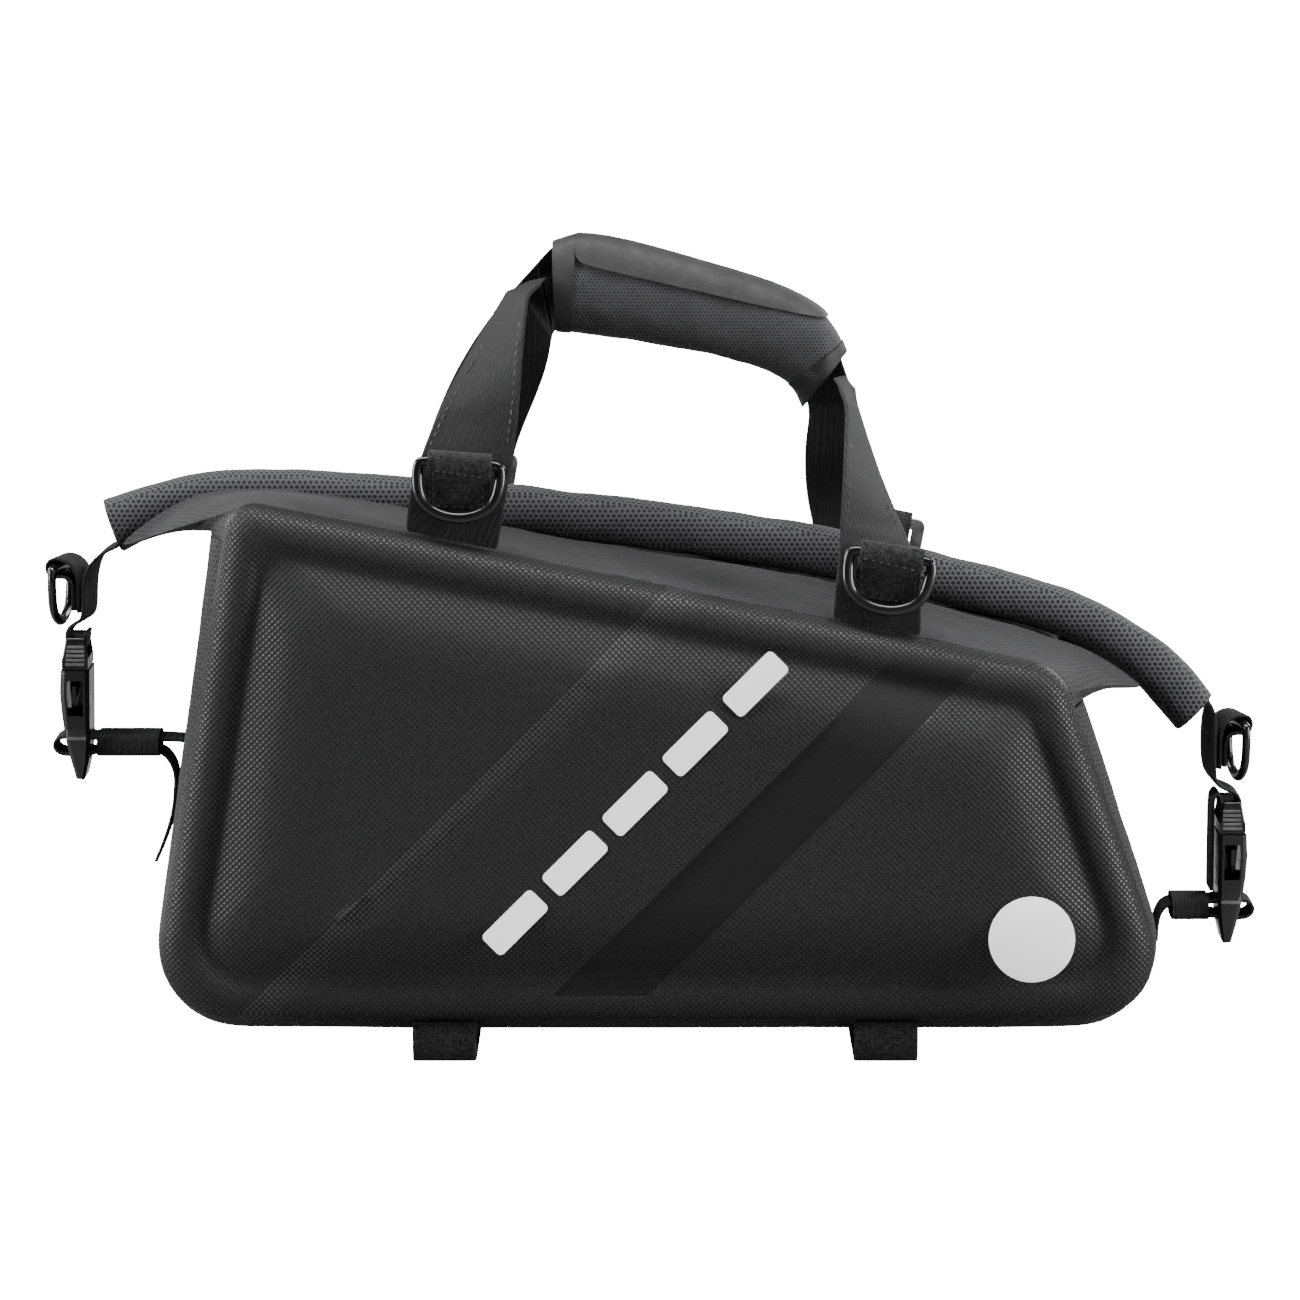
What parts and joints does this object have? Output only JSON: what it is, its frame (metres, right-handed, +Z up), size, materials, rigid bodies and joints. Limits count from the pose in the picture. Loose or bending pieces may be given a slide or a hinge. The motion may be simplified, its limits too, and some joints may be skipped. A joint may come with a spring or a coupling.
{
  "type": "bicycle trunk bag",
  "caption": "Hard-shell roll-top bag for a rear rack, with a padded handle, fixing rings, end buckles and hook-and-loop rack straps.",
  "frame": {"origin": "middle of the bounding box, on the plane of the rack-strap soles that the bag stands on", "axes": "+X along the bag towards its lower end, -Y out of the face seen in the picture, +Z up"},
  "size_m": [0.4811, 0.1744, 0.323],
  "materials": {
    "moulded_shell": "satin, fine diamond weave",
    "mesh_fabric": "honeycomb mesh",
    "woven_webbing": "ribbed webbing",
    "black_plastic": "gloss",
    "satin_alloy": "satin",
    "hook_and_loop": "fuzzy"
  },
  "bodies": {
    "bag": {"shell_front": "moulded_shell", "shell_rear": "moulded_shell", "gusset": "mesh_fabric", "top_cover": "mesh_fabric", "roll": "mesh_fabric", "grip_wrap": "mesh_fabric", "handle_strap_rear": "woven_webbing", "handle_strap_front_left": "woven_webbing", "handle_strap_front_right": "woven_webbing", "tab_front_left": "woven_webbing", "tab_front_right": "woven_webbing", "tab_rear_left": "woven_webbing", "tab_rear_right": "woven_webbing", "roll_end_strap_left": "woven_webbing", "roll_end_strap_right": "woven_webbing", "end_ring_tab_left": "woven_webbing", "end_ring_tab_right": "woven_webbing", "buckle_socket_left": "black_plastic", "buckle_socket_right": "black_plastic", "buckle_plug_left": "black_plastic", "buckle_plug_right": "black_plastic", "end_strap_left": "woven_webbing", "end_strap_right": "woven_webbing", "strap_keeper_left": "woven_webbing", "strap_keeper_right": "woven_webbing", "rack_strap_left": "hook_and_loop", "rack_strap_right": "hook_and_loop"},
    "d_ring_front_left_body": {"d_ring_front_left": "black_plastic"},
    "d_ring_front_right_body": {"d_ring_front_right": "black_plastic"},
    "g_hook_rear_left_body": {"g_hook_rear_left": "satin_alloy"},
    "g_hook_rear_right_body": {"g_hook_rear_right": "satin_alloy"},
    "d_ring_end_left_body": {"d_ring_end_left": "black_plastic"},
    "d_ring_end_right_body": {"d_ring_end_right": "black_plastic"}
  },
  "joints": [
    {"name": "front_left_ring_swing", "type": "hinge", "parent": "bag", "child": "d_ring_front_left_body", "pos_m": [-0.074, -0.0714, 0.2377], "axis": [-0.9976, 0, 0.0698], "range_deg": [0, 150]},
    {"name": "front_right_ring_swing", "type": "hinge", "parent": "bag", "child": "d_ring_front_right_body", "pos_m": [0.094, -0.0714, 0.2016], "axis": [-0.9877, 0, 0.1564], "range_deg": [0, 150]},
    {"name": "rear_left_hook_swing", "type": "hinge", "parent": "bag", "child": "g_hook_rear_left_body", "pos_m": [-0.0717, 0.0721, 0.2295], "axis": [0.9877, 0, -0.1564], "range_deg": [0, 140]},
    {"name": "rear_right_hook_swing", "type": "hinge", "parent": "bag", "child": "g_hook_rear_right_body", "pos_m": [0.0937, 0.0721, 0.2034], "axis": [0.9816, 0, -0.1908], "range_deg": [0, 140]},
    {"name": "left_end_ring_swing", "type": "hinge", "parent": "bag", "child": "d_ring_end_left_body", "pos_m": [-0.23436, 0.00181, 0.1906], "axis": [0.1564, 0.9877, 0], "range_deg": [0, 150]},
    {"name": "right_end_ring_swing", "type": "hinge", "parent": "bag", "child": "d_ring_end_right_body", "pos_m": [0.23415, 0.00185, 0.1282], "axis": [0.1564, -0.9877, 0], "range_deg": [0, 150]}
  ]
}
